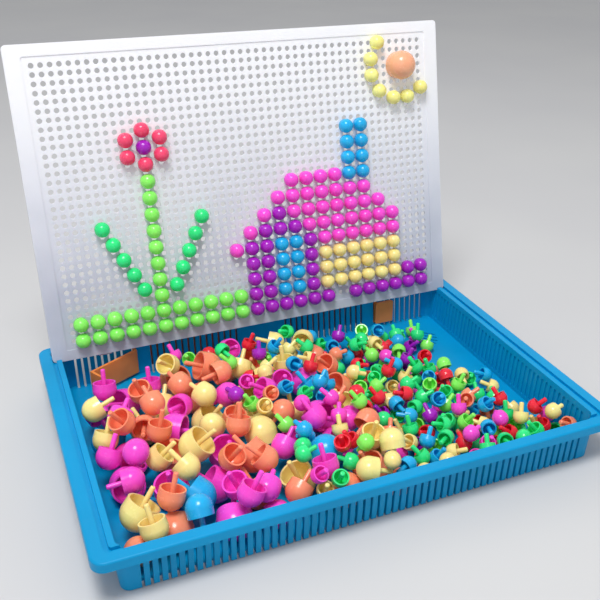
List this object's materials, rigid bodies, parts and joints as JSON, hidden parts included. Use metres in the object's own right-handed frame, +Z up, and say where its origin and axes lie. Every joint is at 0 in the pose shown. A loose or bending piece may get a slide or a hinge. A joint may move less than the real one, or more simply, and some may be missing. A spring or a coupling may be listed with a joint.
{
  "type": "mushroom-peg mosaic board set",
  "caption": "Mosaic set: a perforated pegboard with a peg picture stands in the rim of a slotted tray that holds loose mushroom-shaped pegs, with a strap handle at the rear.",
  "frame": {"origin": "on the resting surface, under the middle of the tray", "axes": "+X along the long side to the right, +Y to the rear where the board stands, +Z up"},
  "size_m": [0.293, 0.2267, 0.2129],
  "materials": {
    "tray_blue": "satin moulded polypropylene",
    "board_white": "slightly translucent satin",
    "handle_orange": "satin",
    "peg_pink": "gloss moulded polyethylene",
    "peg_orange": "gloss moulded polyethylene",
    "peg_yellow": "gloss moulded polyethylene",
    "peg_blue": "gloss moulded polyethylene",
    "peg_green": "gloss moulded polyethylene",
    "peg_lime": "gloss moulded polyethylene",
    "peg_red": "gloss moulded polyethylene",
    "peg_purple": "gloss moulded polyethylene",
    "peg_rose": "gloss moulded polyethylene",
    "peg_ray_yellow": "gloss moulded polyethylene",
    "peg_sun_orange": "gloss moulded polyethylene"
  },
  "bodies": {
    "tray": {"tray": "tray_blue"},
    "board": {"pegboard": "board_white"},
    "loose_pegs": {"loose_large_blue": "peg_blue", "loose_large_orange": "peg_orange", "loose_large_pink": "peg_pink", "loose_large_yellow": "peg_yellow", "loose_medium_blue": "peg_blue", "loose_medium_orange": "peg_orange", "loose_medium_pink": "peg_pink", "loose_medium_yellow": "peg_yellow", "loose_small_blue": "peg_blue", "loose_small_green": "peg_green", "loose_small_lime": "peg_lime", "loose_small_orange": "peg_orange", "loose_small_pink": "peg_pink", "loose_small_purple": "peg_purple", "loose_small_red": "peg_red", "loose_small_yellow": "peg_yellow"},
    "handle_strap": {"handle_strap": "handle_orange"},
    "handle_end_left": {"handle_end_left": "handle_orange"},
    "handle_end_right": {"handle_end_right": "handle_orange"},
    "pegs_chimney": {"pegs_chimney": "peg_blue"},
    "pegs_door": {"pegs_door": "peg_blue"},
    "pegs_door_frame": {"pegs_door_frame": "peg_purple"},
    "pegs_flower_centre": {"pegs_flower_centre": "peg_purple"},
    "pegs_grass": {"pegs_grass": "peg_lime"},
    "pegs_house_wall": {"pegs_house_wall": "peg_yellow"},
    "pegs_leaf_left": {"pegs_leaf_left": "peg_green"},
    "pegs_leaf_right": {"pegs_leaf_right": "peg_green"},
    "pegs_path": {"pegs_path": "peg_purple"},
    "pegs_petals": {"pegs_petals": "peg_rose"},
    "pegs_roof": {"pegs_roof": "peg_pink"},
    "pegs_stem": {"pegs_stem": "peg_lime"},
    "pegs_sun": {"pegs_sun": "peg_sun_orange"},
    "pegs_sun_rays": {"pegs_sun_rays": "peg_ray_yellow"}
  },
  "joints": [
    {"name": "board_lift", "type": "slide", "parent": "tray", "child": "board", "axis": [0, 0.1908, 0.9816], "range_m": [0, 0.06]},
    {"name": "loose_pegs_lift", "type": "slide", "parent": "tray", "child": "loose_pegs", "axis": [0, 0, 1], "range_m": [0, 0.03]},
    {"name": "strap_pull", "type": "slide", "parent": "tray", "child": "handle_strap", "axis": [0, 1, 0], "range_m": [0, 0.003]},
    {"name": "strap_end_left_swing", "type": "hinge", "parent": "tray", "child": "handle_end_left", "pos_m": [-0.08725, 0.0917, 0.0124], "axis": [0, 0, 1], "range_deg": [-26, 0]},
    {"name": "strap_end_right_swing", "type": "hinge", "parent": "tray", "child": "handle_end_right", "pos_m": [0.08725, 0.0917, 0.0124], "axis": [0, 0, 1], "range_deg": [-60, 0]},
    {"name": "pull_pegs_chimney", "type": "slide", "parent": "board", "child": "pegs_chimney", "axis": [0, -0.9816, 0.1908], "range_m": [0, 0.006]},
    {"name": "pull_pegs_door", "type": "slide", "parent": "board", "child": "pegs_door", "axis": [0, -0.9816, 0.1908], "range_m": [0, 0.006]},
    {"name": "pull_pegs_door_frame", "type": "slide", "parent": "board", "child": "pegs_door_frame", "axis": [0, -0.9816, 0.1908], "range_m": [0, 0.006]},
    {"name": "pull_pegs_flower_centre", "type": "slide", "parent": "board", "child": "pegs_flower_centre", "axis": [0, -0.9816, 0.1908], "range_m": [0, 0.006]},
    {"name": "pull_pegs_grass", "type": "slide", "parent": "board", "child": "pegs_grass", "axis": [0, -0.9816, 0.1908], "range_m": [0, 0.006]},
    {"name": "pull_pegs_house_wall", "type": "slide", "parent": "board", "child": "pegs_house_wall", "axis": [0, -0.9816, 0.1908], "range_m": [0, 0.006]},
    {"name": "pull_pegs_leaf_left", "type": "slide", "parent": "board", "child": "pegs_leaf_left", "axis": [0, -0.9816, 0.1908], "range_m": [0, 0.006]},
    {"name": "pull_pegs_leaf_right", "type": "slide", "parent": "board", "child": "pegs_leaf_right", "axis": [0, -0.9816, 0.1908], "range_m": [0, 0.006]},
    {"name": "pull_pegs_path", "type": "slide", "parent": "board", "child": "pegs_path", "axis": [0, -0.9816, 0.1908], "range_m": [0, 0.006]},
    {"name": "pull_pegs_petals", "type": "slide", "parent": "board", "child": "pegs_petals", "axis": [0, -0.9816, 0.1908], "range_m": [0, 0.006]},
    {"name": "pull_pegs_roof", "type": "slide", "parent": "board", "child": "pegs_roof", "axis": [0, -0.9816, 0.1908], "range_m": [0, 0.006]},
    {"name": "pull_pegs_stem", "type": "slide", "parent": "board", "child": "pegs_stem", "axis": [0, -0.9816, 0.1908], "range_m": [0, 0.006]},
    {"name": "pull_pegs_sun", "type": "slide", "parent": "board", "child": "pegs_sun", "axis": [0, -0.9816, 0.1908], "range_m": [0, 0.0095]},
    {"name": "pull_pegs_sun_rays", "type": "slide", "parent": "board", "child": "pegs_sun_rays", "axis": [0, -0.9816, 0.1908], "range_m": [0, 0.006]}
  ]
}
